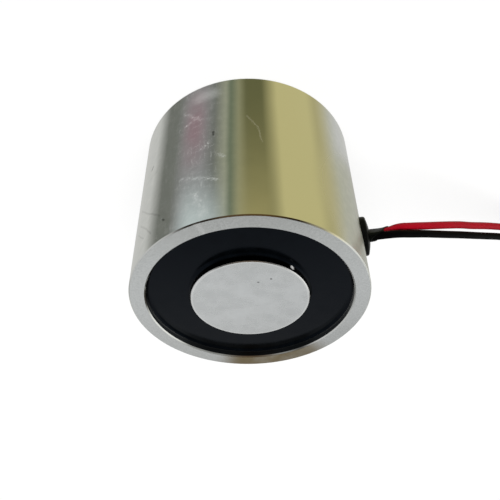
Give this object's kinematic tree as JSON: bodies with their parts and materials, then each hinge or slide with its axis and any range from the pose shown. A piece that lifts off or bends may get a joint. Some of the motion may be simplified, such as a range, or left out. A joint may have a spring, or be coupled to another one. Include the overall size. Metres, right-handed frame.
{
  "type": "holding electromagnet",
  "caption": "Round steel pot holding electromagnet with a flush centre pole, resin-filled ring, threaded back mount and a pair of insulated leads out of its side.",
  "frame": {"origin": "centre of the mounting face, which the part stands on", "axes": "+Z along the pot's axis from the mounting face to the pole face, +X out of the side where the leads leave"},
  "size_m": [0.1225, 0.0665, 0.044],
  "materials": {
    "plated_steel": "bright plated, lightly scuffed",
    "ground_steel": "ground flat",
    "nylon": "moulded",
    "copper_wire": "enamelled copper wire",
    "film_tape": "polyester film",
    "black_resin": "cast, satin",
    "joint_sleeving": "shrunk sleeving",
    "black_rubber": "moulded",
    "shrink_sleeve": "shrunk sleeving",
    "red_insulation": "extruded vinyl",
    "black_insulation": "extruded vinyl",
    "tie_nylon": "moulded",
    "tinned_copper": "tinned strands"
  },
  "bodies": {
    "root": {"pot_shell": "plated_steel", "core_pole": "ground_steel", "bobbin": "nylon", "coil_winding": "copper_wire", "coil_tape": "film_tape", "potting_ring": "black_resin", "joint_sleeve_red": "joint_sleeving", "joint_sleeve_black": "joint_sleeving", "lead_grommet": "black_rubber", "lead_sleeve": "shrink_sleeve", "lead_red": "red_insulation", "lead_black": "black_insulation", "lead_coil": "black_insulation", "lead_tie": "tie_nylon", "lead_red_tail": "red_insulation", "lead_black_tail": "black_insulation", "tinned_end_red": "tinned_copper", "tinned_end_black": "tinned_copper"}
  },
  "joints": []
}
